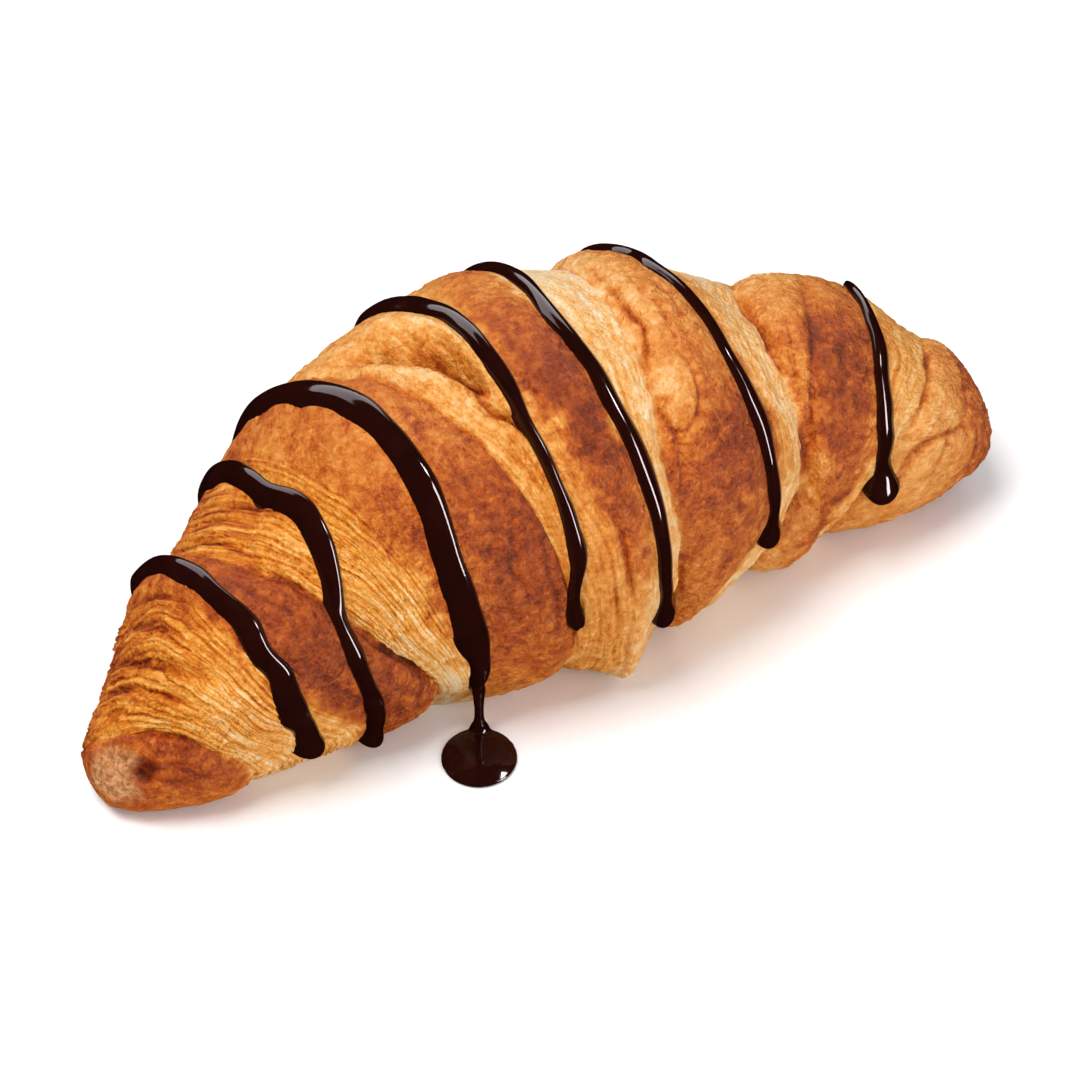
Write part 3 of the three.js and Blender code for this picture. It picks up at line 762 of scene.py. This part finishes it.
# ---------------------------------------------------------------- the chocolate
def stripe_points(number, stripe, rows=230, columns=40):
    """Rings of a stripe's bead, sunk a little into the crust so that it seems to cling."""
    width = STRIPE_WIDTH * stripe["width"]
    span = math.radians(stripe["back"] - stripe["front"])
    length = span * outline(np.array([stripe["at"][2]]))[2][0] / 2
    share = (1 - np.cos(np.pi * (np.arange(rows) + 0.5) / rows)) / 2
    run = share * length
    angle = stripe["front"] + (stripe["back"] - stripe["front"]) * share
    seed = 40 + number
    wander = 0.55 * noise(run / 8, 0, 0, seed)
    wander = wander + 0.38 * noise(run / 3.6, 0, 0, seed + 10) * smooth_step(3, 8, run)
    vary = 1 + 0.13 * noise(run / 8, 0, 0, seed + 20) + 0.13 * noise(run / 3.4, 0, 0, seed + 30)
    plump = 1 + 0.10 * noise(run / 12, 0, 0, seed + 50)
    drop = (1 + (stripe["drop"] - 1) * np.exp(-(((run - 1.6) / 2.4) ** 2))
            + 0.2 * np.exp(-(((length - run) / 3) ** 2)))
    drop = drop - 0.16 * (stripe["drop"] > 1) * np.exp(-(((run - 6.5) / 2.6) ** 2))
    half = width / 2 * vary * drop
    if number == POOLED:
        half = half * (0.36 + 0.64 * smooth_step(0, 18, run))
    from_end = np.minimum(run, length - run)
    end = np.sqrt(1 - (1 - np.minimum(from_end / half, 1)) ** 2)
    turn = 2 * np.pi * np.arange(columns) / columns
    cosine, sine = np.cos(turn), np.sin(turn)
    dome = (1 - np.abs(cosine) ** 2.2) ** 0.72
    height = np.where(sine > 0, dome, -0.35 * dome)
    middle = place_around(stripe["at"], STRIPE_ANGLES, angle) + wander / (LENGTH / 2)
    along = smooth_step(4, 10, np.minimum(run, length - run))
    edge = [1 + 0.20 * along * noise(run / 2.3, 0, 0, seed + 60 + side) for side in (0, 1)]
    spread = np.where(cosine[None] > 0, edge[0][:, None], edge[1][:, None])
    place = middle[:, None] + (half * end)[:, None] * spread * cosine[None] / (LENGTH / 2)
    angle = np.broadcast_to(angle[:, None], place.shape)
    thick = (STRIPE_THICK * plump * drop ** 1.2 * end + SUNK)[:, None] * height[None] - SUNK
    flat = np.broadcast_to(middle[:, None], place.shape)
    lift = thick + 0.5 * (swell(crust(place, angle)) + swell(crust(flat, angle)))
    points = crust(place, angle, lift)
    flowed = points.copy()
    for _ in range(FLOW_PASSES):
        flowed[1:-1] = (flowed[:-2] + 2 * flowed[1:-1] + flowed[2:]) / 4
    keep = 1 - smooth_step(0.6, 3.0, from_end)
    return points * keep[:, None, None] + flowed * (1 - keep[:, None, None])


def turned(profile, segments=48):
    """Rings of a profile [(radius, height)] turned about an upright axis."""
    turn = 2 * np.pi * np.arange(segments) / segments
    profile = np.array(profile, float)
    rings = np.stack([
        profile[:, :1] * np.cos(turn), profile[:, :1] * np.sin(turn),
        np.broadcast_to(profile[:, 1:], (len(profile), segments))], -1)
    return rings


def bead(name, rings):
    global POLES
    POLES = [to_frame(rings[0].mean(0))[None], to_frame(rings[-1].mean(0))[None]]
    return mesh_object(name, to_frame(rings), len(rings), rings.shape[1])


def outward(piece):
    """Faces turned outwards, whichever way the rings ran."""
    mesh = piece.data
    count = len(mesh.polygons)
    centres, normals = np.zeros(count * 3), np.zeros(count * 3)
    areas = np.zeros(count)
    mesh.polygons.foreach_get("center", centres)
    mesh.polygons.foreach_get("normal", normals)
    mesh.polygons.foreach_get("area", areas)
    volume = np.sum(np.sum(centres.reshape(-1, 3) * normals.reshape(-1, 3), 1) * areas)
    if volume < 0:
        mesh.flip_normals()
    return piece


def joined(name, pieces, voxel):
    """The pieces run together into one smooth body."""
    bpy.ops.object.select_all(action="DESELECT")
    for piece in pieces:
        outward(piece).select_set(True)
    bpy.context.view_layer.objects.active = pieces[0]
    bpy.ops.object.join()
    whole = pieces[0]
    whole.name = name
    whole.data.name = name
    remesh = whole.modifiers.new("run_together", "REMESH")
    remesh.mode = "VOXEL"
    remesh.voxel_size = voxel * MM
    remesh.use_smooth_shade = True
    soften = whole.modifiers.new("soften", "SMOOTH")
    soften.factor = 0.5
    soften.iterations = SAUCE_SOFTENING
    bpy.ops.object.modifier_apply(modifier="run_together")
    bpy.ops.object.modifier_apply(modifier="soften")
    return whole


def pooled_stripe(number, stripe):
    angle = stripe["front"] + 3.0
    place = place_around(stripe["at"], STRIPE_ANGLES, np.array([angle]))
    start = crust(place, np.array([angle]), 0.75)[0]
    foot = POOL_THICK * 0.5
    drip = turned([
        (1.7, foot - 0.3), (1.45, foot + 0.5), (1.05, foot + 1.3), (THREAD_WAIST, foot + 2.6),
        (THREAD_WAIST * 0.95, start[2] * 0.6), (THREAD_WAIST * 1.15, start[2] * 0.85),
        (1.15, start[2] + 0.6), (1.0, start[2] + 2.2), (0.2, start[2] + 3.2)])
    drip[..., 0] += start[0]
    drip[..., 1] += start[1]
    out = np.linspace(1, 0.03, 14)
    dome = [(POOL_RADIUS * r, 0.35 + (POOL_THICK - 0.35) * (1 - r ** 2.3)) for r in out]
    pool = turned([(POOL_RADIUS * 0.5, 0.0), (POOL_RADIUS - 0.4, 0.0)] + dome)
    pool[..., 0] += start[0] + POOL_OUT[0]
    pool[..., 1] += start[1] + POOL_OUT[1]
    pieces = [bead("run", stripe_points(number, stripe)), bead("drip", drip), bead("pool", pool)]
    return joined(f"sauce_stripe_{number + 1}", pieces, SAUCE_VOXEL)


for number, stripe in enumerate(STRIPES):
    if number == POOLED:
        piece = pooled_stripe(number, stripe)
        co = np.zeros(len(piece.data.vertices) * 3)
        piece.data.vertices.foreach_get("co", co)
        co = co.reshape(-1, 3)
        co[:, 2] = np.maximum(co[:, 2], 0)
        piece.data.vertices.foreach_set("co", co.ravel())
        piece.data.update()
    else:
        piece = outward(bead(f"sauce_stripe_{number + 1}", stripe_points(number, stripe)))
    finish_piece(piece, f"chocolate_stripe_{number + 1}", CHOCOLATE)
outward(loaf)

# ---------------------------------------------------------------- floor, light, camera
FLOOR_REACH, FLOOR_DROP = 3.0, 0.0001      # metres; the drop keeps it clear of the sole
WORLD_STRENGTH = 0.42


def floor():
    material, tree, shader = node_tree("pale_floor")
    shader.inputs["Base Color"].default_value = (0.93, 0.93, 0.93, 1)
    shader.inputs["Roughness"].default_value = 0.6
    mesh = bpy.data.meshes.new("floor")
    s = FLOOR_REACH
    mesh.from_pydata([(-s, -s, 0), (s, -s, 0), (s, s, 0), (-s, s, 0)], [], [(0, 1, 2, 3)])
    mesh.materials.append(material)
    made = bpy.data.objects.new("floor", mesh)
    made.location.z = -FLOOR_DROP
    made.visible_glossy = False     # keeps the low ends of the sauce dark, as against a dark table
    bpy.context.scene.collection.objects.link(made)


def softbox(name, direction, away, size, size_y, energy, lights=True, mirrors=True):
    """A rectangle of light aimed at the croissant; direction is (azimuth from the front, elevation)."""
    light = bpy.data.lights.new(name, "AREA")
    light.shape = "RECTANGLE"
    light.size, light.size_y = size, size_y
    light.energy = energy
    made = bpy.data.objects.new(name, light)
    azimuth, elevation = (math.radians(v) for v in direction)
    reach = Vector((math.sin(azimuth) * math.cos(elevation), -math.cos(azimuth) * math.cos(elevation),
                    math.sin(elevation)))
    made.location = middle + reach * away
    made.rotation_euler = (-reach).to_track_quat("-Z", "Y").to_euler()
    made.visible_glossy = mirrors
    made.visible_diffuse = lights
    bpy.context.scene.collection.objects.link(made)


floor()
middle = Vector(((START_BOX[0][0] + START_BOX[1][0]) / 2, (START_BOX[0][1] + START_BOX[1][1]) / 2, 0.025))
softbox("top_softbox", (-101, 70), 0.89, 0.5, 0.5, 7.9, mirrors=False)
softbox("front_softbox", (5, 28), 1.0, 0.9, 0.6, 3.4, mirrors=False)
softbox("back_card", (178, 32), 0.90, 1.5, 0.45, 12.5, lights=False)
softbox("side_card", (35, 24), 0.85, 0.26, 0.70, 32.0, lights=False)
softbox("window_card", (62, 54), 0.90, 0.20, 0.16, 11.0, lights=False)

world = bpy.data.worlds.new("studio")
world.use_nodes = True
world.node_tree.nodes["Background"].inputs[0].default_value = (1, 1, 1, 1)
world.node_tree.nodes["Background"].inputs[1].default_value = WORLD_STRENGTH
bpy.context.scene.world = world
world.cycles_visibility.glossy = False

AZIMUTH, ELEVATION, DISTANCE, LENS = -28.5, 45.6, 450.0, 95.4
LOOK_AT = np.array([-5.8, -4.0, 24.0])
camera_data = bpy.data.cameras.new("camera")
camera_data.lens = LENS
camera_data.sensor_width = 36
camera = bpy.data.objects.new("camera", camera_data)
a, e = math.radians(AZIMUTH), math.radians(ELEVATION)
back = np.array([math.sin(a) * math.cos(e), -math.cos(a) * math.cos(e), math.sin(e)])
camera.location = Vector(to_frame(LOOK_AT + back * DISTANCE))
camera.rotation_euler = Vector(-back).to_track_quat("-Z", "Y").to_euler()
bpy.context.scene.collection.objects.link(camera)
bpy.context.scene.camera = camera
bpy.context.scene.view_settings.view_transform = "Standard"


def plain(box):
    return [[float(v) for v in corner] for corner in box]
